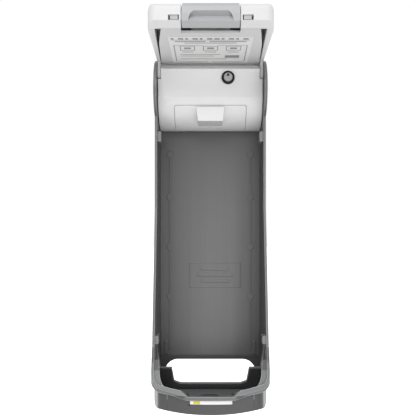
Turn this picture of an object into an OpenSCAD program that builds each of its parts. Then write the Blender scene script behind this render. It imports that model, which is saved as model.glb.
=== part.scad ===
// Wall-held charging cradle for one phone: a tall smoked tray with a white head,
// a hinged white lid, a sliding battery door and a padded rest in the bowl at the bottom.
// Millimetres. +X is right, +Y is towards the wall, +Z is up.
// The origin is the middle of the four wall screws, on the back face of the tray.

/* [Tray] */
// Width of the tray over its side walls
tray_w = 104; // [96:1:112]
// Wall thickness of the smoked plastic
wall = 2.2; // [2:0.1:3]
// Height of the hinge ears above the wall screws
ear_mid_h = 150; // [140:1:156]
// Radius of the round hinge ears
ear_r = 29.4; // [28:0.1:30]
// Depth of the straight side rim
rim_depth = 41.5; // [40:0.5:42]
// Depth of the bowl at its front lip
bowl_depth = 86; // [84:0.5:88]
// Radius of the upright front corners of the bowl
bowl_corner_r = 9.5; // [6:0.5:12]
// Half width of the chin, under the overhanging rim
chin_half_w = 46.8; // [46:0.1:50]

/* [Wall screws] */
// Distance between the screw columns
screw_dx = 80.8; // [70:0.2:84]
// Distance between the screw rows
screw_dz = 100; // [60:10:120]
// Radius of the wall screw holes
screw_hole_r = 2.2; // [1.8:0.1:2.4]
// Depth of the screw holes, which a thin web closes at the front
screw_hole_depth = 2.1; // [1.6:0.1:2.2]

/* [Head] */
// Half width of the white head
head_half_w = 49.2; // [48:0.1:49.3]
// Wall thickness of the white parts
shell = 2.2; // [1.8:0.1:2.6]
// Half width of the battery door
door_half_w = 34.2; // [30:0.2:36]
// Top edge of the battery door
door_top = 136.2; // [132:0.2:138]
// Sideways place of the power socket
socket_x = 16.6; // [10:0.2:24]
// Height of the power socket
socket_z = 161.2; // [160:0.2:162]

/* [Lid] */
// Half width of the lid
lid_half_w = 49.5; // [48:0.1:49.5]
// Reach of the lid from the wall to its free end
lid_reach = 124.5; // [118:0.5:126]
// Half width of the latch button
button_half_w = 23; // [18:0.5:24]

/* [Hinges] */
// Radius of the lid hinge pins
pin_r = 2; // [1.6:0.1:2.4]
// Running clearance of the pins
pin_gap = 0.05; // [0.02:0.01:0.08]

/* [Hidden] */
$fn = 96;
half_w = tray_w / 2;
in_half = half_w - wall;
eps = 0.01;
big = 400;
gap = 0.3;

// Tray outline, seen from the side
ear_y = -27;
bend_z = 39;
low_rim = [-65, -82];
bowl_rim = [-75.5, -107];
lip_z = -121.5;
chin = [-82.5, -138.5];
heel = [-8, -166];
chin_depth = bowl_depth - 1.6;
taper_y = -46;
bow_r = 240;
back_low_z = -160;
seam_z = -84;
frame_z = -109.4;
fillet_r = 15;
fillet_dz = sqrt(pow(ear_r + fillet_r, 2) - pow(rim_depth + fillet_r + ear_y, 2));
fillet_y = -rim_depth - fillet_r;
fillet_z = ear_mid_h - fillet_dz;
slope = atan2(heel[1] - chin[1], heel[0] - chin[0]);
slope_len = norm(heel - chin);

// Head outline, seen from the side
head_back = -2.8;
drum = [-8, 146.5];
drum_r = 30.6;
brow_y = -42.3;
top_r = 24;
arm_z = 160.3;
arm_half = 46.4;

// Lid hinge, and the rails that guide the battery door
hinge = [-36, 166];
arm_r = 5.3;
arm_root = 4.6;
arm_in = 46.8;
rail_x = [32.4, 33.8];
rail_y = [-31.8, -29.8];
rail_top = 151;

// Lid outline, seen from the side
rim_front = [-120, 179.2];
rim_back = [-26, 175.2];
bevel_z = 184.7;
lid_top_front = 198.5;
lid_top_back = [-46, 187.4];
lid_slope = atan2(lid_top_back[1] - lid_top_front, lid_top_back[0] + lid_reach - 4);
lid_corner_r = 7;
liner_back = [-29, 176.5];
liner_front = [-119.3, 179.5];
liner_t = 2;
label_y = -70;
liner_rise = liner_front[1] - liner_back[1];
liner_run = liner_back[0] - liner_front[0];
// Height of the liner's underside at a place along the lid
function liner_at(y) = liner_back[1] + liner_rise * (liner_back[0] - y) / liner_run;
snap_x = 30;
snap_y = [-95, -50];
snap_r = 2;

// Padded rest in the bowl
shelf_z = -129.5;
pad_y = -44.5;
pad_t = 3;
pad_ear_top = -110.4;
pad_base_top = -124.9;
pad_ear_w = 13;
window_y = -59.5;

// Battery cells: places of the four axes, and their size
cell_r = 7;
cell_l = 50.5;
cap_l = 1.5;
cells = [[-13.1, 127.6], [-25.7, 135.5], [-26.6, 150], [-13.1, 142.3]];

// ---------- helpers ----------

// Draws a side view outline (y, z) and gives it a width along X
module across(x0, x1) {
    translate([x0, 0, 0]) rotate([90, 0, 90]) linear_extrude(x1 - x0) children();
}

// Draws a front view outline (x, z) and gives it a depth from y0 (front) to y1 (back)
module deep(y0, y1) {
    translate([0, y1, 0]) rotate([90, 0, 0]) linear_extrude(y1 - y0) children();
}

module block(x0, x1, y0, y1, z0, z1) {
    translate([x0, y0, z0]) cube([x1 - x0, y1 - y0, z1 - z0]);
}

// A round bar along X
module bar_x(x0, x1, y, z, r) {
    translate([x0, y, z]) rotate([0, 90, 0]) cylinder(h = x1 - x0, r = r);
}

// A round bar along Y
module bar_y(x, z, y0, y1, r) {
    translate([x, y1, z]) rotate([90, 0, 0]) cylinder(h = y1 - y0, r = r);
}

// A plan outline run up through the whole height
module tall() {
    translate([0, 0, -200]) linear_extrude(600) children();
}

module both_sides() {
    children();
    mirror([1, 0, 0]) children();
}

// ---------- tray and bowl ----------

// Side outline of the whole smoked body, ear included
module body_side() {
    polygon([
        [0, back_low_z], [0, ear_mid_h], [-rim_depth, ear_mid_h - 4], [-rim_depth, bend_z],
        low_rim, bowl_rim, [-bowl_depth + 1, lip_z + 0.6], [-bowl_depth - 2, lip_z - 1],
        [-bowl_depth - 2, chin[1] + 8], chin, heel
    ]);
    intersection() {
        translate([ear_y, ear_mid_h]) circle(ear_r);
        translate([-big, 0]) square([big, big]);
    }
    difference() {
        polygon([
            [-rim_depth + 2, fillet_z], [fillet_y, fillet_z],
            [ear_y, ear_mid_h], [-rim_depth + 2, ear_mid_h]
        ]);
        translate([fillet_y, fillet_z]) circle(fillet_r);
        translate([-big, ear_mid_h]) square([big, big]);
    }
}

// Plan outline with tapered sides, rounded front corners and a slightly bowed front
module plan(half, depth, inset) {
    w = half - inset;
    r = bowl_corner_r - inset;
    side = half_w - inset;
    corner_y = -depth + 3.5 + bowl_corner_r;
    intersection() {
        union() {
            polygon([
                [-side, 10], [-side, taper_y], [-w, corner_y],
                [w, corner_y], [side, taper_y], [side, 10]
            ]);
            translate([-w + r, -depth - 2]) square([2 * (w - r), 60]);
            translate([w - r, corner_y]) circle(r);
            translate([-w + r, corner_y]) circle(r);
        }
        translate([0, -depth + inset + bow_r]) circle(bow_r, $fn = 720);
    }
}

module body_plan(inset) {
    plan(half_w, bowl_depth, inset);
}

module chin_plan(inset) {
    plan(chin_half_w, chin_depth, inset);
}

// Cross-section of the sloping underside: bowed, with round lower corners
module belly(inset) {
    w = half_w - inset;
    r = 15 - inset;
    bow = 190;
    intersection() {
        union() {
            translate([-w, r]) square([2 * w, big]);
            translate([-w + r, 0]) square([2 * (w - r), big]);
            translate([w - r, r]) circle(r);
            translate([-w + r, r]) circle(r);
        }
        translate([0, bow]) circle(bow, $fn = 256);
    }
}

module belly_block(inset) {
    translate([0, chin[0], chin[1] + inset])
        rotate([slope, 0, 0])
            translate([0, 150, 0])
                rotate([90, 0, 0]) linear_extrude(300) belly(inset);
}

// Side view of everything that is as wide as the tray: the overhanging rim ends along its low edge
module wide_side() {
    polygon([
        [5, 300], [5, seam_z], [-44, seam_z], [-48, -88], [-64, -98], [-71.5, -110],
        [-77.5, -121.2], [-77.5, -125], [-100, -125], [-100, 300]
    ]);
}

// The same for the hollow inside, one wall higher
module wide_hollow_side() {
    polygon([
        [5, 300], [5, -80], [-44, -81.5], [-48.6, -85.6], [-66, -95.8], [-74.2, -108],
        [-80, -118.5], [-100, -118.5], [-100, 300]
    ]);
}

// Front view of the rim, which rises at the sides and dips under the finger notch
module rim_front_view() {
    polygon([
        [-60, -113], [-52, -113.4], [-49.5, -116], [-45, -119], [-33, -121.2], [-21, -125],
        [21, -125], [33, -121.2], [45, -119], [49.5, -116], [52, -113.4], [60, -113],
        [60, 300], [-60, 300]
    ]);
}

// The hollow smoked body before it is split into tray and bowl
module body_shell() {
    difference() {
        intersection() {
            across(-half_w, half_w) body_side();
            union() {
                intersection() {
                    across(-60, 60) wide_side();
                    tall() body_plan(0);
                    deep(-100, 10) rim_front_view();
                }
                intersection() {
                    tall() chin_plan(0);
                    belly_block(0);
                }
            }
        }
        intersection() {
            across(-in_half, in_half) translate([-big, -200]) square([big - wall, 500]);
            union() {
                intersection() {
                    across(-60, 60) wide_hollow_side();
                    tall() body_plan(wall);
                    deep(-100, 10) translate([0, 1.5 * wall]) rim_front_view();
                }
                intersection() {
                    tall() chin_plan(wall);
                    belly_block(wall);
                }
            }
        }
        block(-half_w, half_w, -big, -bowl_depth + 0.4, lip_z, 200);
    }
}

// Space taken by the tray, the rest of the body being the bowl
module tray_zone() {
    block(-60, 60, -100, 5, seam_z + 0.1, 200);
    block(-in_half, in_half, -wall - eps, 5, frame_z + 0.1, seam_z + 1);
}

module bowl_zone() {
    difference() {
        block(-60, 60, -100, 5, -180, seam_z - 0.1);
        block(-in_half - 0.05, in_half + 0.05, -wall - 0.1, 5, frame_z - 0.1, seam_z);
    }
}

module tray() {
    color("dimgray") difference() {
        union() {
            intersection() {
                body_shell();
                tray_zone();
            }
            // long low ridges with a flat boss at every screw mark
            both_sides() {
                block(screw_dx / 2 - 1, screw_dx / 2 + 1, -wall - 0.6, -wall + 0.5, -104, 94);
                for (z = [-50, 0, 50, 93]) {
                    bar_y(screw_dx / 2, z, -wall - 0.6, -wall + 0.5, 3.4);
                }
                // guide ribs beside the foot of each ridge
                block(42.6, 45.6, -wall - 1.6, -wall + 0.5, -108, -95);
            }
            // raised mould mark: three plain bars in a thin frame
            translate([4.8, 0, -28.6]) {
                difference() {
                    block(-26, 26, -wall - 0.2, -wall + 0.5, -12.5, 12.5);
                    block(-25.4, 25.4, -wall - 1, -wall + 1, -11.9, 11.9);
                }
                for (i = [-1:1]) {
                    translate([0, 0, 6 * i])
                        block(-18 + 4 * abs(i), 18 - 4 * abs(i), -wall - 0.3, -wall + 0.5, -1.4, 1.4);
                }
            }
        }
        for (sx = [-1, 1], sz = [-1, 1]) {
            bar_y(sx * screw_dx / 2, sz * screw_dz / 2, -screw_hole_depth, 2, screw_hole_r);
        }
        bar_x(-60, 60, hinge[0], hinge[1], pin_r + pin_gap);
    }
}

// Outline of the opening in the back of the bowl
module outlet_outline() {
    translate([-45.5, -136]) square([91, 9.5]);
    translate([-32.5, -127]) square([65, 13.5]);
    translate([-41.5, -150]) square([83, 20]);
    translate([-45.5, -146]) square([91, 18]);
    for (sx = [-1, 1]) {
        translate([sx * 32.5, -126.5]) circle(13);
        translate([sx * 41.5, -146]) circle(4);
    }
}

module bowl() {
    color("gray") difference() {
        intersection() {
            body_shell();
            bowl_zone();
        }
        deep(-6, 2) outlet_outline();
        // finger notch in the front lip
        deep(-95, -70) polygon([[-27, -116], [27, -116], [20.2, -121.7], [-20.2, -121.7]]);
        // seat of the pin-hole light
        bar_y(-18.2, -129.4, -90, -80, 0.7);
    }
}

module bowl_clips() {
    color("silver") both_sides() {
        difference() {
            block(46.6, in_half, -62.5, -54, -82.8, -75.6);
            block(46, 48, -60.5, -56, -84, -78.4);
        }
    }
}

module lid_rest_lugs() {
    color("silver") both_sides() {
        block(46.4, in_half, -38.6, -29, 101.5, 111);
        block(47.6, in_half, -29, -20, 101.5, 104);
    }
}

// ---------- padded rest ----------

// Plate across the front of the bowl, with a wall under the pad
module shelf() {
    color("dimgray") difference() {
        union() {
            intersection() {
                union() {
                    block(-60, 60, -90, -40, shelf_z - 2, shelf_z);
                    block(-60, 60, -43.5, -41.5, -160, shelf_z);
                }
                tall() chin_plan(wall + 0.1);
                belly_block(wall + 0.1);
            }
            // posts of the sensor board
            for (x = [-11, 9]) {
                translate([x, -66, shelf_z - 4]) cylinder(h = 2.5, r = 2);
            }
        }
        // cable slots
        for (sx = [-1, 1]) {
            block(sx * 24 - 5, sx * 24 + 5, -60, -54, -140, -120);
        }
        translate([-1, window_y, shelf_z - 5]) linear_extrude(10) lens_outline(0.15);
    }
}

// Pointed oval, longer than it is deep
module lens_outline(grow) {
    r = 27.1;
    intersection() {
        translate([0, r - 1.4]) circle(r + grow, $fn = 360);
        translate([0, 1.4 - r]) circle(r + grow, $fn = 360);
    }
}

// U outline of the rest, seen from the front; grow widens it all round
module rest_outline(grow) {
    bottom = shelf_z + gap / 3;
    polygon([
        [-in_half + gap, bottom], [in_half - gap, bottom], [in_half - gap, pad_ear_top + grow],
        [in_half - pad_ear_w - grow, pad_ear_top + grow], [34.4 - grow, -122.4 + grow / 2],
        [28 - grow / 2, pad_base_top + grow], [-28 + grow / 2, pad_base_top + grow],
        [-34.4 + grow, -122.4 + grow / 2], [-in_half + pad_ear_w + grow, pad_ear_top + grow],
        [-in_half + gap, pad_ear_top + grow]
    ]);
}

module pad_carrier() {
    color("silver") deep(pad_y + pad_t, pad_y + pad_t + 1.8) rest_outline(0.8);
}

module foam_pad() {
    color("black") deep(pad_y, pad_y + pad_t) rest_outline(0);
}

module sensor_window() {
    color("black") translate([-1, window_y, shelf_z - 1.8]) linear_extrude(2.1) lens_outline(0);
}

module sensor_board() {
    color("darkgreen") union() {
        block(-14, 12, -72, -54, shelf_z - 5.2, shelf_z - 4.02);
        for (x = [-5, 3]) {
            block(x - 1.6, x + 1.6, window_y - 1.6, window_y + 1.6, shelf_z - 4.1, shelf_z - 2.4);
        }
    }
}

// ---------- badge ----------

module badge_plate() {
    color("white") intersection() {
        block(-17.5, 18.5, -88, -80, -128.4, -125.2);
        difference() {
            tall() chin_plan(-0.6);
            tall() chin_plan(0);
        }
    }
}

module badge_inlay() {
    color("gold") intersection() {
        block(-14.5, -9, -88, -80, -128, -125.6);
        difference() {
            tall() chin_plan(-0.9);
            tall() chin_plan(-0.6);
        }
    }
}

// ---------- head ----------

// Side outline of the head, inset for the hollow inside
module head_side(inset) {
    difference() {
        union() {
            // round lower front
            intersection() {
                translate(drum) circle(drum_r - inset);
                translate([-big, drum[1] - big]) square([big + head_back - inset, big]);
            }
            // upright middle, up to the brow
            polygon([
                [drum[0] - drum_r + inset, drum[1] - 1], [brow_y + inset, drum[1] + 1],
                [brow_y + inset, 160], [ear_y, 160 + 8],
                [head_back - inset, 160], [head_back - inset, drum[1] - 1]
            ]);
            // round top
            intersection() {
                translate([ear_y, ear_mid_h]) circle(top_r - inset);
                translate([brow_y + inset, ear_mid_h])
                    square([head_back - brow_y - 2 * inset, big]);
            }
            intersection() {
                translate([brow_y + inset, 150]) square([15, 22]);
                translate([ear_y, ear_mid_h]) circle(top_r - inset);
            }
        }
        // hollow brow above the drum
        translate([-95.1, 149.7]) circle(57 + inset, $fn = 180);
    }
}

module head_solid(inset) {
    difference() {
        across(-head_half_w + inset, head_half_w - inset) head_side(inset);
        both_sides() block(arm_half - inset, 60, -60, 0, arm_z - inset, 190);
    }
}

// Space of the battery door and its opening, with rounded top corners
module door_zone(extra) {
    w = door_half_w + extra;
    r = 2 + extra;
    top = door_top + extra;
    deep(-60, -9 + extra) union() {
        translate([-w, 100]) square([2 * w, top - r - 100]);
        translate([-w + r, 100]) square([2 * (w - r), top - 100]);
        translate([-w + r, top - r]) circle(r);
        translate([w - r, top - r]) circle(r);
    }
}

module head_housing() {
    color("white") difference() {
        union() {
            difference() {
                head_solid(0);
                head_solid(shell);
                // open back, closed by the back cover
                block(-46.5, 46.5, -5, 0, 119, 153.5);
                door_zone(0);
            }
            // bosses for the back cover screws
            both_sides() {
                for (z = [123, 150.5]) {
                    bar_y(42.5, z, -19, -4.8, 3.4);
                }
            }
            // bosses that carry the lid's hinge pins
            both_sides() bar_x(arm_half - 6, arm_half - 1, hinge[0], hinge[1], 4.6);
            // channels that guide the door's rails
            both_sides() difference() {
                block(rail_x[0] + 0.1, rail_x[1] + 2, -36.5, rail_y[1] + 1.7, door_top + 2, rail_top + 4);
                block(30, rail_x[1] + gap, rail_y[0] - gap, rail_y[1] + gap, 130, rail_top + 2);
            }
            // posts that carry the circuit board
            both_sides() bar_y(34, 163, -39, -24.15, 2.6);
            // flat seat of the power socket
            bar_y(socket_x, socket_z, -39.4, -37.2, 6.3);
        }
        both_sides() {
            bar_x(arm_half - 5, 60, hinge[0], hinge[1], pin_r + pin_gap);
            for (z = [123, 150.5]) {
                bar_y(42.5, z, -17, 0, 1.25);
            }
            bar_y(34, 163, -32, -18, 0.9);
        }
        bar_y(socket_x, socket_z, -60, -34, 4.1);
        bar_y(socket_x, socket_z, -60, -39.4, 6.3);
    }
}

module head_back_cover() {
    color("lightgray") difference() {
        block(-46.3, 46.3, -4.8, -2.8, 119.2, 153.3);
        both_sides() {
            for (z = [123, 150.5]) {
                bar_y(42.5, z, -10, 0, 1.7);
                bar_y(42.5, z, -3.8, 0, 3);
            }
        }
    }
}

// One screw along Y: its head faces +Y at head_y
module screw_y(x, z, head_y, length, r, head_r) {
    difference() {
        union() {
            bar_y(x, z, head_y - length, head_y, r);
            bar_y(x, z, head_y - 0.9, head_y, head_r);
        }
        translate([x, head_y, z]) cube([0.6, 0.8, head_r * 1.3], center = true);
        translate([x, head_y, z]) cube([head_r * 1.3, 0.8, 0.6], center = true);
    }
}

module head_screws() {
    color("silver") both_sides() {
        for (z = [123, 150.5]) {
            screw_y(42.5, z, -2.85, 12, 1.2, 2.8);
        }
    }
}

module battery_tray() {
    color("darkslategray") union() {
        both_sides() across(30.4, 32) intersection() {
            translate([-35.6, 117]) square([30.5, 40.4]);
            union() {
                translate(drum) circle(drum_r - shell - 1.8);
                translate([-60, drum[1]]) square([60, 20]);
            }
        }
        block(-32, 32, -18, -5.1, 150.6, 152);
        block(-30.4, 30.4, -5.9, -5.1, 120.2, 157.4);
    }
}

module battery_cells() {
    color("steelblue") for (c = cells) {
        bar_x(cap_l - cell_l / 2, cell_l / 2 - cap_l, c[0], c[1], cell_r);
    }
}

// Small button at one end and wide disc at the other, turned about from cell to cell
module cell_caps() {
    color("gold") for (i = [0:3]) {
        mirror([i % 2, 0, 0]) {
            bar_x(cell_l / 2 - cap_l, cell_l / 2, cells[i][0], cells[i][1], 2.7);
            bar_x(0.6 - cell_l / 2, cap_l - cell_l / 2, cells[i][0], cells[i][1], 6.3);
        }
    }
}

// Flat-wound contact spring: three rings that narrow towards the cell
module contact_spring(x, dir, y, z) {
    for (k = [0:2]) {
        translate([x + dir * k * 1.25, y, z]) rotate([0, 90, 0])
            rotate_extrude() translate([5 - 1.1 * k, 0]) circle(0.62, $fn = 16);
    }
}

module contact_springs() {
    color("silver") for (i = [0:3]) {
        mirror([i % 2, 0, 0]) contact_spring(-28.9, 1, cells[i][0], cells[i][1]);
    }
}

module contact_plates() {
    color("silver") both_sides() {
        across(29.8, 30.3) polygon([
            [-32, 134.5], [-27, 128], [-18, 121.3], [-7, 120.5], [-7, 149.9], [-18.6, 149.9],
            [-18.6, 156.4], [-33.6, 156.4]
        ]);
    }
}

module battery_door() {
    color("white") union() {
        intersection() {
            difference() {
                across(-head_half_w, head_half_w) head_side(0);
                across(-head_half_w, head_half_w) head_side(shell);
            }
            door_zone(-gap);
        }
        // finger pull
        difference() {
            intersection() {
                across(-15, 15) polygon([
                    [-39.6, 133.9], [-40.6, 120.6], [-16, 118.4], [-30, 134.4]
                ]);
                deep(-60, -9) polygon([[-14.2, 140], [14.2, 140], [10.2, 110], [-10.2, 110]]);
            }
            across(-head_half_w, head_half_w) head_side(shell);
        }
        // rails that run in the head's channels
        both_sides() intersection() {
            block(rail_x[0], rail_x[1], rail_y[0], rail_y[1], 124, rail_top);
            across(-head_half_w, head_half_w) head_side(0.2);
        }
    }
}

// ---------- power socket and electronics ----------

// Dark collar: a raised ring round a lower floor
module socket_bezel() {
    color("dimgray") difference() {
        bar_y(socket_x, socket_z, -41.4, -39.45, 6.1);
        bar_y(socket_x, socket_z, -45, -40.2, 5.3);
        bar_y(socket_x, socket_z, -45, -38, 4);
    }
}

module socket_body() {
    color("gray") difference() {
        union() {
            bar_y(socket_x, socket_z, -43.4, -34.2, 3.9);
            block(socket_x - 4.5, socket_x + 4.5, -34.4, -24.2, socket_z - 3.9, socket_z + 4.6);
        }
        bar_y(socket_x, socket_z + 2, -50, -33.4, 1.3);
    }
}

module socket_nut() {
    color("silver") difference() {
        translate([socket_x, -34.5, socket_z]) rotate([90, 0, 0]) cylinder(h = 1.4, r = 6.2, $fn = 6);
        bar_y(socket_x, socket_z, -40, -34, 4.05);
    }
}

module circuit_board() {
    color("darkgreen") difference() {
        block(-40, 40, -24.1, -22.5, 158.2, 168.6);
        both_sides() bar_y(34, 163, -30, -18, 1.2);
    }
}

module board_parts() {
    color("black") union() {
        block(-14, -4, -26.4, -24.15, 159.5, 166);
        block(-26, -20, -26.9, -24.15, 160, 165);
        bar_y(3, 163, -30.5, -24.15, 3);
        block(24.4, 28, -26, -24.15, 160, 166);
    }
}

module board_screws() {
    color("silver") both_sides() screw_y(34, 163, -21.5, 8, 0.85, 2);
}

// ---------- lid ----------

module lid_side() {
    r = 4;
    polygon([
        rim_back, rim_front, [-lid_reach, bevel_z], [-lid_reach, lid_top_front - r],
        [-lid_reach + r, lid_top_front], lid_top_back, [-32, 185.4], [rim_back[0], 181]
    ]);
    translate([-lid_reach + r, lid_top_front - r]) circle(r);
}

// Plan outline of the lid; the front wall is twice as thick as the others
module lid_plan(inset) {
    w = lid_half_w - inset;
    r = 5.5 - inset;
    d = lid_reach - 2 * inset;
    translate([-w, -d + r]) square([2 * w, d - r - 26 - inset]);
    translate([-w + r, -d]) square([2 * (w - r), 30]);
    for (sx = [-1, 1]) {
        translate([sx * (w - r), -d + r]) circle(r);
    }
}

// Cross-section with round top edges, run along the slope of the lid's top
module lid_crown(inset) {
    w = lid_half_w - inset;
    r = lid_corner_r - inset;
    union() {
        translate([-w, -60]) square([2 * w, 60 - r]);
        translate([-w + r, -60]) square([2 * (w - r), 60]);
        for (sx = [-1, 1]) {
            translate([sx * (w - r), -r]) circle(r);
        }
    }
}

module lid_crown_block(inset) {
    translate([0, lid_top_back[0], lid_top_back[1] - inset])
        rotate([lid_slope, 0, 0])
            translate([0, 150, 0]) rotate([90, 0, 0]) linear_extrude(300) lid_crown(inset);
}

module lid_mass(inset) {
    intersection() {
        translate([0, 0, 150]) linear_extrude(80) lid_plan(inset);
        lid_crown_block(inset);
    }
}

module lid_shell() {
    color("white") difference() {
        union() {
            difference() {
                intersection() {
                    across(-lid_half_w, lid_half_w) lid_side();
                    lid_mass(0);
                }
                // hollow; the side rims widen towards the free end
                intersection() {
                    lid_mass(shell);
                    tall() polygon([[-47.3, -20], [47.3, -20], [44.2, -121], [-44.2, -121]]);
                }
            }
            // hinge arms
            both_sides() {
                bar_x(arm_in, lid_half_w, hinge[0], hinge[1], arm_r);
                block(arm_in, lid_half_w, hinge[0] - arm_root, hinge[0] + arm_root, hinge[1], 176.5);
            }
            // sockets that take the liner's studs
            for (sx = [-1, 1], y = snap_y) {
                translate([sx * snap_x, y, 181]) cylinder(h = 5.6 - 0.149 * (y + 50), r = 3.6);
            }
        }
        both_sides() bar_x(40, 60, hinge[0], hinge[1], pin_r + pin_gap);
        for (sx = [-1, 1], y = snap_y) {
            translate([sx * snap_x, y, 170]) cylinder(h = 14.6, r = snap_r + 0.1);
        }
        // opening of the latch button
        block(-button_half_w - gap, button_half_w + gap, -140, -117, 170, 205);
        // windows of the latch tongues
        for (sx = [-1, 1]) {
            block(sx * 29 - 4.2, sx * 29 + 4.2, -140, -119, 184.9, 188.9);
        }
    }
}

// Inner panel: narrower at the free end, so a dark pocket shows at each side
module lid_liner() {
    color("whitesmoke") difference() {
        union() {
            intersection() {
                across(-48, 48) polygon([
                    liner_back, liner_front, [liner_front[0], liner_front[1] + liner_t],
                    [liner_back[0], liner_back[1] + liner_t]
                ]);
                tall() polygon([
                    [-39.2, -120], [39.2, -120], [43.6, -87], [46.4, -36], [46.6, -28],
                    [-46.6, -28], [-46.4, -36], [-43.6, -87]
                ]);
            }
            // studs that snap into the shell, and the stop of the latch springs
            for (sx = [-1, 1], y = snap_y) {
                translate([sx * snap_x, y, liner_at(y) + 1]) cylinder(h = 183.5 - liner_at(y), r = snap_r);
            }
            block(-16, 16, -105.5, -104, 180.2, 191.5);
        }
        // clearance of the latch button
        block(-button_half_w - 0.6, button_half_w + 0.6, -130, -111.2, 170, 190);
    }
}

// Places a thing on the tilted underside of the liner: u across, v towards the wall
module on_liner() {
    translate([0, label_y, liner_at(label_y) - 0.02]) rotate([-atan2(liner_rise, liner_run), 0, 0]) children();
}

module label_plate() {
    color("white") on_liner() block(-35, 35, -32.5, 34.5, -0.35, 0);
}

// Plain bars and frames stand in for the printed instructions
module label_print() {
    color("gray") on_liner() translate([0, 0, -0.45]) linear_extrude(0.1) {
        for (x = [-33:6:27]) {
            translate([x, -30.5]) square([4.4 - 2 * (abs(x) % 4 == 1 ? 1 : 0), 3.2]);
        }
        translate([-33, -26.2]) square([66, 0.6]);
        translate([-30, -23.6]) square([26, 1.8]);
        translate([-1, -23.6]) square([31, 1.8]);
        translate([-22, -19.6]) square([44, 1.2]);
        both_sides() {
            translate([31, -13.5]) square([0.8, 43]);
            translate([6, -13.5]) square([25, 0.5]);
            translate([2, 30.5]) square([29, 0.6]);
        }
        for (x = [-20, 0, 20]) {
            translate([x, -6]) difference() {
                square([13, 11], center = true);
                square([11.6, 9.6], center = true);
            }
            translate([x - 3, -8]) square([6, 4]);
            translate([x - 5, 3]) square([10, 1.2]);
        }
        translate([-27, 10]) square([36, 1]);
        translate([-27, 14]) square([30, 1]);
        translate([-27, 22]) square([42, 1]);
        translate([13, 12.5]) square([13, 7]);
    }
}

// ---------- latch ----------

module latch_button() {
    color("darkgray") difference() {
        intersection() {
            across(-button_half_w, button_half_w) polygon([
                [-114, 182.2], [-121.4, 179.6], [-125.2, 184], [-125.6, 190], [-125.3, 195.6],
                [-123.4, 198.3], [-119.9, 198.6], [-119.9, 194.6], [-114, 194.6]
            ]);
            // slightly bowed upright ends
            deep(-130, -110) intersection() {
                translate([-60 + button_half_w, 187.6]) circle(60, $fn = 180);
                translate([60 - button_half_w, 187.6]) circle(60, $fn = 180);
            }
        }
        // finger scoop
        intersection() {
            across(-17.6, 17.6) polygon([
                [-130, 192.3], [-125.2, 191.7], [-121.6, 189.3], [-125.5, 183.3], [-130, 183]
            ]);
            deep(-130, -110) polygon([
                [-17.6, 184], [-16.4, 182.7], [16.4, 182.7], [17.6, 184], [16.9, 187.4],
                [15.6, 190], [13.2, 191.9], [-13.2, 191.9], [-15.6, 190], [-16.9, 187.4]
            ]);
        }
        block(-button_half_w + 2, button_half_w - 2, -119, -100, 184.2, 193);
        // slot that the latch bar lies in
        block(-button_half_w - 1, button_half_w + 1, -116.9, -110, 184.5, 192.5);
    }
}

module latch_bar() {
    color("darkgray") union() {
        block(-36, 36, -116.8, -114.6, 184.6, 192.4);
        both_sides() {
            block(25.6, 31.8, -124.2, -115, 185.3, 188.5);
            block(33.5, 36, -115, -113, 184.6, 192.4);
        }
    }
}

module latch_springs() {
    color("silver") for (x = [-12, 12], k = [0:4]) {
        translate([x, -113.98 + 1.3 * k, 188.5]) rotate([90, 0, 0])
            rotate_extrude() translate([2.6, 0]) circle(0.3, $fn = 16);
    }
}

module hinge_pins() {
    color("silver") both_sides() {
        bar_x(arm_half - 4.8, half_w - 0.2, hinge[0], hinge[1], pin_r);
    }
}

tray();
bowl();
bowl_clips();
lid_rest_lugs();
shelf();
pad_carrier();
foam_pad();
sensor_window();
badge_plate();
badge_inlay();
head_housing();
head_back_cover();
head_screws();
battery_tray();
battery_cells();
cell_caps();
contact_springs();
contact_plates();
battery_door();
socket_bezel();
socket_body();
socket_nut();
circuit_board();
board_parts();
board_screws();
lid_shell();
lid_liner();
label_plate();
label_print();
latch_button();
latch_bar();
latch_springs();
hinge_pins();
sensor_board();
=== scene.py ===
# %% [markdown]
# # A wall-held phone charging cradle
# The hard parts come packed from the CAD model, so this script only gives them their finish,
# adds the soft pad, and lights the set. Everything is in metres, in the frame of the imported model:
# +X right, +Y into the wall, +Z up, with the origin in the middle of the four wall screws.

import math

import bmesh
import bpy
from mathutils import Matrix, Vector


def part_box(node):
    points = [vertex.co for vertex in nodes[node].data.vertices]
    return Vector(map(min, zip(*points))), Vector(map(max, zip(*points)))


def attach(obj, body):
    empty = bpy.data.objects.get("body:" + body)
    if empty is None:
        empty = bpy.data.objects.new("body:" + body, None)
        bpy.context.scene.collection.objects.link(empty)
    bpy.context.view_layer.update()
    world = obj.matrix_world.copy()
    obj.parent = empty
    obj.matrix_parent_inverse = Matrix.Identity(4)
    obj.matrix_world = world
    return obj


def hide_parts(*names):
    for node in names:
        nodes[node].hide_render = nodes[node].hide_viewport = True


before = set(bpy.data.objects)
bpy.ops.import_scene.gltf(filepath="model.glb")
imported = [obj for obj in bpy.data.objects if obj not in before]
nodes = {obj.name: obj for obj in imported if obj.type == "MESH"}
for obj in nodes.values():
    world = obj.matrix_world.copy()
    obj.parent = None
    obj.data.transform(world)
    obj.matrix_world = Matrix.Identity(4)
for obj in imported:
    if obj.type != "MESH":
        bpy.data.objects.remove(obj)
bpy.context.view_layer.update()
MM = 0.001

# %% [markdown]
# ## The camera
# A product view from straight in front, a little above the middle of the tray. A 45 mm lens half
# a metre away is close enough that the lid, which points at the viewer, looks larger than the head.

# %% Place the camera
lens_mm = 45
camera_data = bpy.data.cameras.new("camera")
camera_data.lens = lens_mm
camera_data.sensor_width = 36
camera = bpy.data.objects.new("camera", camera_data)
camera.location = (-0.0022, -0.5275, 0.039)
camera.rotation_euler = (math.radians(90), 0, 0)
bpy.context.scene.collection.objects.link(camera)
bpy.context.scene.camera = camera
print("camera at", tuple(round(v, 4) for v in camera.location))

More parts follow.
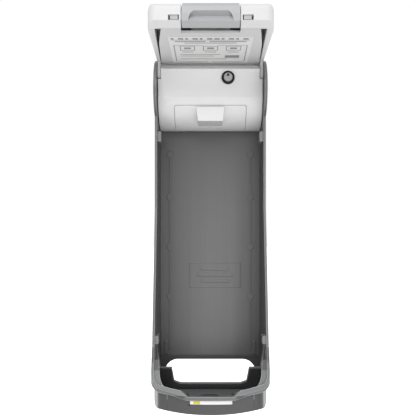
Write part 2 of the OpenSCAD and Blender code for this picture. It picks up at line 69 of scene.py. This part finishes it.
# %% [markdown]
# ## Colours and nodes
# A shader works in linear light, while a hex colour is sRGB, so one function turns one into the
# other. One more function adds a node, sets its sockets and links what should be linked. The rest
# mix colours and make masks, which are 1 where something applies and 0 elsewhere.

# %% Helpers for colours, nodes and materials
def linear(hex_colour):
    """sRGB hex to a linear colour with alpha."""
    values = [int(hex_colour[i:i + 2], 16) / 255 for i in (1, 3, 5)]
    return (*[v / 12.92 if v <= 0.04045 else ((v + 0.055) / 1.055) ** 2.4 for v in values], 1)


def add(tree, kind, settings=None, **sockets):
    """Adds a node. settings are its properties; a socket takes a value or another node's output."""
    node = tree.nodes.new(kind)
    for name, value in (settings or {}).items():
        setattr(node, name, value)
    for name, value in sockets.items():
        key = int(name[1:]) if name[0] == "_" else name.replace("_", " ")
        if isinstance(value, bpy.types.NodeSocket):
            tree.links.new(value, node.inputs[key])
        else:
            node.inputs[key].default_value = value
    return node


def mixed(tree, mask, first, second):
    """Goes from the first colour to the second as the mask goes from 0 to 1."""
    mix = add(tree, "ShaderNodeMix", {"data_type": "RGBA"}, Factor=mask)
    for key, value in ((6, first), (7, second)):
        if isinstance(value, bpy.types.NodeSocket):
            tree.links.new(value, mix.inputs[key])
        else:
            mix.inputs[key].default_value = value
    return mix.outputs[2]


def below(tree, value, limit_mm):
    """1 where the coordinate is below the limit, with a short fade."""
    fade_mm = 0.3
    return add(tree, "ShaderNodeMapRange", Value=value, _1=(limit_mm - fade_mm) * MM,
               _2=limit_mm * MM, _3=1.0, _4=0.0).outputs["Result"]


def joined(tree, operation, *masks):
    """Combines several masks with one math operation."""
    result = masks[0]
    for mask in masks[1:]:
        result = add(tree, "ShaderNodeMath", {"operation": operation}, _0=result,
                     _1=mask).outputs[0]
    return result


def new_material(name):
    """A material with an empty tree."""
    material = bpy.data.materials.new(name)
    material.use_nodes = True
    material.node_tree.nodes.clear()
    return material, material.node_tree


def dress(material, *names):
    """Gives a material to CAD nodes."""
    for name in names:
        slots = nodes[name].material_slots
        for slot in slots:
            slot.material = material
        if not slots:
            nodes[name].data.materials.append(material)
    print(f"{material.name}: {', '.join(names)}")


# %% [markdown]
# ## Moulded plastics
# Almost everything here is injection-moulded. What the eye reads as moulded plastic is a faint
# orange-peel ripple, tiny differences in gloss, and edges that are never perfectly sharp. The
# ripple and the gloss are noise whose size is set in millimetres, and a bevel node rounds the edges
# that light catches.

# %% Moulded plastic
def edge_mask(tree, normal):
    """1 where an edge is rounded off, 0 on flat walls."""
    turned, flat = 0.8, 0.999
    shape = add(tree, "ShaderNodeNewGeometry")
    match = add(tree, "ShaderNodeVectorMath", {"operation": "DOT_PRODUCT"}, _0=normal,
                _1=shape.outputs["True Normal"])
    return add(tree, "ShaderNodeMapRange", Value=match.outputs["Value"], _1=turned, _2=flat,
               _3=1.0, _4=0.0).outputs["Result"]


def moulded(name, light, dark, roughness, peel_mm=1.6, peel=0.04, edge_mm=0.5, ior=1.53,
            edge_highlight_colour=None, painted_light=None):
    """Moulded plastic: two close colours, uneven gloss, orange peel and softened edges.

    The edge colour argument paints a highlight on the rounded edges. The light-and-shade function
    takes (tree, place) and gives a mask, a painted light-and-shade colour, and the mask of the area
    whose edges take the painted highlight."""
    cloud_mm = 18
    gloss_swing = 0.03
    ripple_depth_mm = 0.2
    material, tree = new_material(name)
    place = add(tree, "ShaderNodeTexCoord")
    cloud = add(tree, "ShaderNodeTexNoise", Vector=place.outputs["Object"],
                Scale=1 / (cloud_mm * MM), Detail=3.0, Roughness=0.55)
    colour = mixed(tree, cloud.outputs["Fac"], linear(dark), linear(light))
    gloss = add(tree, "ShaderNodeMapRange", Value=cloud.outputs["Fac"], _1=0.3, _2=0.7,
                _3=roughness - gloss_swing, _4=roughness + gloss_swing)
    ripple = add(tree, "ShaderNodeTexNoise", Vector=place.outputs["Object"],
                 Scale=1 / (peel_mm * MM), Detail=2.0)
    soft_edge = add(tree, "ShaderNodeBevel", {"samples": 6}, Radius=edge_mm * MM)
    # Painted light and shade go into the colour here, then painted highlights on the edges of the
    # given area.
    if painted_light:
        mask, second, edge_highlight_area = painted_light(tree, place)
        colour = mixed(tree, mask, colour, second)
        edges = add(tree, "ShaderNodeMath", {"operation": "MULTIPLY"}, _0=edge_highlight_area,
                    _1=edge_mask(tree, soft_edge.outputs["Normal"]))
        colour = mixed(tree, edges.outputs[0], colour, linear(edge_highlight_colour))
    bump = add(tree, "ShaderNodeBump", Height=ripple.outputs["Fac"], Strength=peel,
               Distance=ripple_depth_mm * MM, Normal=soft_edge.outputs["Normal"])
    shader = add(tree, "ShaderNodeBsdfPrincipled", Base_Color=colour,
                 Roughness=gloss.outputs["Result"], IOR=ior, Normal=bump.outputs["Normal"])
    add(tree, "ShaderNodeOutputMaterial", Surface=shader.outputs["BSDF"])
    return material


# %% [markdown]
# ## White plastic
# The head and its door are satin white ABS, the brightest part. The lid is the same plastic, but
# its colour is a shade greyer as painted shade for the light that falls full on it, so that its end
# face keeps its outline against the white ground. The liner inside the lid has a coarser, duller
# face, and the cover at the back of the head is plain and matte.

# %% White ABS, satin
white_abs = moulded("white_abs", "#EEEEEE", "#E8E8E8", 0.36)
dress(white_abs, "head_housing", "battery_door")
# Painted shade: the lid is the same white plastic, given a greyer colour because it faces the light.
lid_abs_painted_shade = moulded("lid_abs_painted_shade", "#D9D9D9", "#D3D3D3", 0.4)
dress(lid_abs_painted_shade, "lid_shell")
liner_abs = moulded("liner_abs", "#DCDCDC", "#D5D5D5", 0.42, peel=0.06)
dress(liner_abs, "lid_liner")
cover_abs = moulded("cover_abs", "#D9D9D8", "#D0D0D0", 0.5)
dress(cover_abs, "head_back_cover")

# %% [markdown]
# ## Smoked plastic
# The tray is a dark, slightly see-through plastic, with light and shade painted into its colour.
# Painted light makes the back panel paler down the middle and towards the foot, and a painted
# shadow of the head makes it darkest right under the head. Painted highlights on the cut edges and
# the rims' faces make every rim read as a pale line. The bowl is the same plastic, with painted
# light making it a little paler on its overhanging rim and painted highlights on its edges.

# %% Smoked ABS
WALLS_START_Y = -8  # mm; the side walls are in front of this, the back panel behind it


def panel_painted_light(tree, place):
    """Painted light and shade: paler down the middle of the back panel and towards its foot, a
    painted highlight on the rim's face, a painted shadow under the head.
    """
    # The masks below paint light down the middle of the back panel and towards its foot, a shadow of
    # the head at the top, and faint vertical streaks in that painted light.
    core, half_width = 6, 52
    foot_z, head_z = -100, 118
    panel_front, panel_back = -6, -4
    streak_mm, streak_squeeze = 14, 0.03
    parts = add(tree, "ShaderNodeSeparateXYZ", Vector=place.outputs["Object"])
    width = add(tree, "ShaderNodeMath", {"operation": "ABSOLUTE"}, _0=parts.outputs["X"])
    middle = add(tree, "ShaderNodeMapRange", {"interpolation_type": "SMOOTHSTEP"},
                 Value=width.outputs[0], _1=core * MM, _2=half_width * MM, _3=1.0, _4=0.3)
    below_head = add(tree, "ShaderNodeMapRange", Value=parts.outputs["Z"], _1=foot_z * MM,
                     _2=head_z * MM, _3=1.0, _4=0.0)
    foot = joined(tree, "POWER", below_head.outputs["Result"], 0.27)
    panel = add(tree, "ShaderNodeMapRange", Value=parts.outputs["Y"], _1=panel_front * MM,
                _2=panel_back * MM)
    stretched = add(tree, "ShaderNodeMapping", Vector=place.outputs["Object"],
                    Scale=(1, 1, streak_squeeze))
    streak = add(tree, "ShaderNodeTexNoise", Vector=stretched.outputs["Vector"],
                 Scale=1 / (streak_mm * MM), Detail=2.0)
    streaks = add(tree, "ShaderNodeMapRange", Value=streak.outputs["Fac"], _1=0.3, _2=0.7,
                  _3=0.8, _4=1.1)
    back = joined(tree, "MULTIPLY", *(node.outputs["Result"]
                                      for node in (middle, panel, streaks)))
    # Front-facing faces of the walls get a painted highlight.
    shape = add(tree, "ShaderNodeNewGeometry")
    facing = add(tree, "ShaderNodeSeparateXYZ", Vector=shape.outputs["True Normal"])
    to_front = add(tree, "ShaderNodeMapRange", Value=facing.outputs["Y"], _1=-0.8, _2=-0.6,
                   _3=0.8, _4=0.0)
    walls = below(tree, parts.outputs["Y"], WALLS_START_Y)
    rim = joined(tree, "MULTIPLY", to_front.outputs["Result"], walls)
    # Painted shadow of the head (#222223) fading into painted light towards the foot (#787879), and
    # a painted highlight (#7A7A7B) on the rim's face.
    second = mixed(tree, foot, linear("#222223"), linear("#787879"))
    second = mixed(tree, rim, second, linear("#7A7A7B"))
    return joined(tree, "MAXIMUM", back, rim), second, walls


def rim_painted_light(tree, place):
    """Painted light on the overhanging rim of the bowl, and no painted edge highlights on the chin
    under it.
    """
    lip_depth, lip_front_y = 125.2, -84.8
    rim_side_depth, rim_side_y = 121.4, -71
    chin_depth = 125.6
    parts = add(tree, "ShaderNodeSeparateXYZ", Vector=place.outputs["Object"])
    depth = add(tree, "ShaderNodeMath", {"operation": "MULTIPLY"}, _0=parts.outputs["Z"], _1=-1.0)
    front = joined(tree, "MULTIPLY", below(tree, depth.outputs[0], lip_depth),
                   below(tree, parts.outputs["Y"], lip_front_y))
    side = joined(tree, "MULTIPLY", below(tree, depth.outputs[0], rim_side_depth),
                  below(tree, parts.outputs["Y"], rim_side_y))
    edge_highlight_area = joined(tree, "MULTIPLY", below(tree, depth.outputs[0], chin_depth),
                       below(tree, parts.outputs["Y"], WALLS_START_Y))
    # 727374 is the painted light on the bowl's rim.
    return joined(tree, "MAXIMUM", front, side), linear("#727374"), edge_highlight_area


# The edge colours below are painted highlights on the rounded edges; the functions above paint light
# and shade into the colour.
smoked_abs = moulded("smoked_abs", "#545455", "#4D4D4E", 0.34, edge_mm=0.7,
                     edge_highlight_colour="#D2D3D4", painted_light=panel_painted_light)
dress(smoked_abs, "tray")
bowl_abs = moulded("bowl_abs", "#525253", "#4B4B4C", 0.38, edge_mm=0.8, edge_highlight_colour="#D6D7D8",
                   painted_light=rim_painted_light)
dress(bowl_abs, "bowl")

# %% [markdown]
# ## Small plastic parts
# The clips, the lugs and the pad's carrier are a paler grey, so they stand out from the walls that
# they sit on. The shelf is duller. The latch is a light satin grey, set off from the white lid.
# Black nylon makes the dark ring round the socket, and the window is a glossy black lens. The cells
# wear a plain blue printed sleeve.

# %% Grey ABS, black nylon, lens and sleeve
clip_abs = moulded("clip_abs", "#888989", "#7E7F80", 0.35, edge_mm=0.4)
dress(clip_abs, "bowl_clips", "lid_rest_lugs", "pad_carrier")
insert_abs = moulded("insert_abs", "#6C6D6E", "#646566", 0.5)
dress(insert_abs, "shelf")
latch_abs = moulded("latch_abs", "#B2B3B4", "#AAABAC", 0.38)
dress(latch_abs, "latch_button", "latch_bar", "socket_body")
black_nylon = moulded("black_nylon", "#1C1D1E", "#151617", 0.55)
dress(black_nylon, "battery_tray", "socket_bezel", "board_parts")
dark_lens = moulded("dark_polycarbonate", "#0B0B0D", "#08080A", 0.08, peel=0.0, ior=1.585)
dress(dark_lens, "sensor_window")
cell_sleeve = moulded("printed_sleeve", "#2F5A7E", "#284F70", 0.22, peel=0.02)
dress(cell_sleeve, "battery_cells")

# %% [markdown]
# ## Metals, boards and print
# The pins, screws and contacts are bright nickel-plated steel, which is smooth but shows fine
# drawing marks. The boards are glass-epoxy with a green lacquer. Labels are coated paper, with grey
# ink for the bars that stand in for print and yellow ink for the badge.

# %% Nickel-plated steel
def drawn_steel(name, colour, roughness, grain_mm):
    """Plated steel with fine marks along X."""
    material, tree = new_material(name)
    place = add(tree, "ShaderNodeTexCoord")
    squeezed = add(tree, "ShaderNodeMapping", Vector=place.outputs["Object"], Scale=(0.08, 1, 1))
    grain = add(tree, "ShaderNodeTexNoise", Vector=squeezed.outputs["Vector"],
                Scale=1 / (grain_mm * MM), Detail=2.0)
    gloss = add(tree, "ShaderNodeMapRange", Value=grain.outputs["Fac"], _3=roughness * 0.8,
                _4=roughness * 1.25)
    bump = add(tree, "ShaderNodeBump", Height=grain.outputs["Fac"], Strength=0.08,
               Distance=0.05 * MM)
    shader = add(tree, "ShaderNodeBsdfPrincipled", Base_Color=linear(colour), Metallic=1.0,
                 Roughness=gloss.outputs["Result"], Normal=bump.outputs["Normal"])
    add(tree, "ShaderNodeOutputMaterial", Surface=shader.outputs["BSDF"])
    return material


nickel = drawn_steel("nickel_plated_steel", "#C9C6C0", 0.25, 0.3)
dress(nickel, "head_screws", "contact_springs", "contact_plates",
      "socket_nut", "board_screws", "latch_springs", "hinge_pins", "cell_caps")

# %% Boards and print
green_lacquer = moulded("green_lacquer", "#1F5B3A", "#194D31", 0.25, peel_mm=0.8, peel=0.03)
dress(green_lacquer, "circuit_board", "sensor_board")
coated_paper = moulded("coated_paper", "#F1F1F0", "#EBEBEA", 0.5, peel_mm=0.5, peel=0.02)
dress(coated_paper, "label_plate", "badge_plate")
grey_ink = moulded("grey_ink", "#9A9C9E", "#919395", 0.5, peel=0.0)
dress(grey_ink, "label_print")
yellow_ink = moulded("yellow_ink", "#D8CF3A", "#CFC530", 0.4, peel=0.0)
dress(yellow_ink, "badge_inlay")

# %% [markdown]
# ## The foam pad
# A die-cut U of closed-cell foam, glued to its carrier. Its cut edges are rounded and its face is
# slightly pillowed and uneven, so it is remeshed finely and smoothed, not left as a flat plate.

# %% Closed-cell foam
foam, tree = new_material("closed_cell_foam")
place = add(tree, "ShaderNodeTexCoord")
cells = add(tree, "ShaderNodeTexVoronoi", Vector=place.outputs["Object"], Scale=1 / (0.7 * MM))
dents = add(tree, "ShaderNodeTexNoise", Vector=place.outputs["Object"], Scale=1 / (6 * MM))
foam_tint = mixed(tree, dents.outputs["Fac"], linear("#202021"), linear("#29292A"))
grain = add(tree, "ShaderNodeBump", Height=cells.outputs["Distance"], Strength=0.35,
            Distance=0.15 * MM)
foam_shader = add(tree, "ShaderNodeBsdfPrincipled", Base_Color=foam_tint, Roughness=0.85,
                  Sheen_Weight=0.15, Normal=grain.outputs["Normal"])
add(tree, "ShaderNodeOutputMaterial", Surface=foam_shader.outputs["BSDF"])

# %% Cut the pad and soften it
low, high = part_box("foam_pad")
half = high[0] - 0.3 * MM
ear = half - 12.7 * MM
ear_foot = ear - 2.4 * MM
base_half = 28 * MM
bend_z = high[2] - 12 * MM
base_z = high[2] - 14.5 * MM
right = [(half, low[2]), (half, high[2]), (ear, high[2]), (ear_foot, bend_z), (base_half, base_z)]
outline = [(-half, low[2]), *right, *((-x, z) for x, z in reversed(right[1:]))]
cut = bmesh.new()
face = cut.faces.new([cut.verts.new((x, high[1], z)) for x, z in outline])
block = bmesh.ops.extrude_face_region(cut, geom=[face])
for item in block["geom"]:
    if isinstance(item, bmesh.types.BMVert):
        item.co.y = low[1]
bmesh.ops.recalc_face_normals(cut, faces=cut.faces)
pad_mesh = bpy.data.meshes.new("foam_rest")
cut.to_mesh(pad_mesh)
cut.free()
pad = bpy.data.objects.new("foam_rest", pad_mesh)
bpy.context.scene.collection.objects.link(pad)
remesh = pad.modifiers.new("fine", "REMESH")
remesh.mode = "VOXEL"
remesh.voxel_size = 0.7 * MM
smooth = pad.modifiers.new("soft_edges", "SMOOTH")
smooth.factor = 0.6
smooth.iterations = 5
hollows = bpy.data.textures.new("pad_hollows", "CLOUDS")
hollows.noise_scale = 9 * MM
pillow = pad.modifiers.new("uneven_face", "DISPLACE")
pillow.texture = hollows
pillow.strength = 0.25 * MM
pillow.mid_level = 0.7
pad_mesh.materials.append(foam)
for flat in pad_mesh.polygons:
    flat.use_smooth = True
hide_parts("foam_pad")
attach(pad, "cradle")
print("foam pad", [round(v / MM, 1) for v in (*low, *high)])

# %% [markdown]
# ## The stage
# A pale floor well below the cradle and a bright backdrop sky behind it make the plain background
# of a catalogue picture. The far floor glows like a light table, so it runs into the backdrop. The
# room behind the camera is dimmer than the backdrop and darker below, which gives the round head
# its shading, and two large soft lights in front do the rest.

# %% Floor
floor_z = -0.6
bpy.ops.mesh.primitive_plane_add(size=12, location=(0, 2, floor_z))
floor = bpy.context.object
floor.name = "floor"
floor_paint, tree = new_material("pale_floor")
place = add(tree, "ShaderNodeTexCoord")
parts = add(tree, "ShaderNodeSeparateXYZ", Vector=place.outputs["Object"])
far_off = add(tree, "ShaderNodeMapRange", {"interpolation_type": "SMOOTHSTEP"},
              Value=parts.outputs["Y"], _1=-1.7, _2=-1.2, _3=0.0, _4=0.9)
floor_shader = add(tree, "ShaderNodeBsdfPrincipled", Base_Color=linear("#F5F5F5"), Roughness=0.8,
                   Emission_Color=(1, 1, 1, 1), Emission_Strength=far_off.outputs["Result"])
add(tree, "ShaderNodeOutputMaterial", Surface=floor_shader.outputs["BSDF"])
floor.data.materials.append(floor_paint)
print("floor at", floor_z)

# %% Sky: a white backdrop behind the cradle, a dimmer room in front
world = bpy.data.worlds.new("studio")
bpy.context.scene.world = world
world.use_nodes = True
sky = world.node_tree
direction = add(sky, "ShaderNodeTexCoord")
parts = add(sky, "ShaderNodeSeparateXYZ", Vector=direction.outputs["Generated"])
backdrop = add(sky, "ShaderNodeMapRange", {"interpolation_type": "SMOOTHSTEP"},
               Value=parts.outputs["Y"], _1=0.6, _2=0.82)
room = add(sky, "ShaderNodeMapRange", {"interpolation_type": "SMOOTHSTEP"},
           Value=parts.outputs["Z"], _1=-0.7, _2=0.8, _3=0.25, _4=0.85)
brightness = add(sky, "ShaderNodeMix", {"data_type": "FLOAT"}, Factor=backdrop.outputs["Result"],
                 _2=room.outputs["Result"], _3=1.02)
background = sky.nodes["Background"]
background.inputs["Color"].default_value = (1, 1, 1, 1)
sky.links.new(brightness.outputs[0], background.inputs["Strength"])
print("sky:", world.name)

# %% Lights
def soft_light(name, location, target, size, watts):
    """A square area light aimed at a point."""
    data = bpy.data.lights.new(name, "AREA")
    data.size = size
    data.energy = watts
    light = bpy.data.objects.new(name, data)
    light.location = location
    aim = Vector(target) - Vector(location)
    light.rotation_euler = aim.to_track_quat("-Z", "Y").to_euler()
    bpy.context.scene.collection.objects.link(light)
    print(f"{name}: {watts} W, {size} m")


soft_light("key", (-0.15, -1.0, 0.8), (0, 0, 0.05), 0.7, 5.0)
soft_light("fill", (0.3, -1.3, -0.1), (0, 0, 0.1), 0.9, 3.0)

# %% [markdown]
# ## View transform
# The render shows colours through the plain Standard view transform.

# %% Set the view transform
bpy.context.scene.view_settings.view_transform = "Standard"
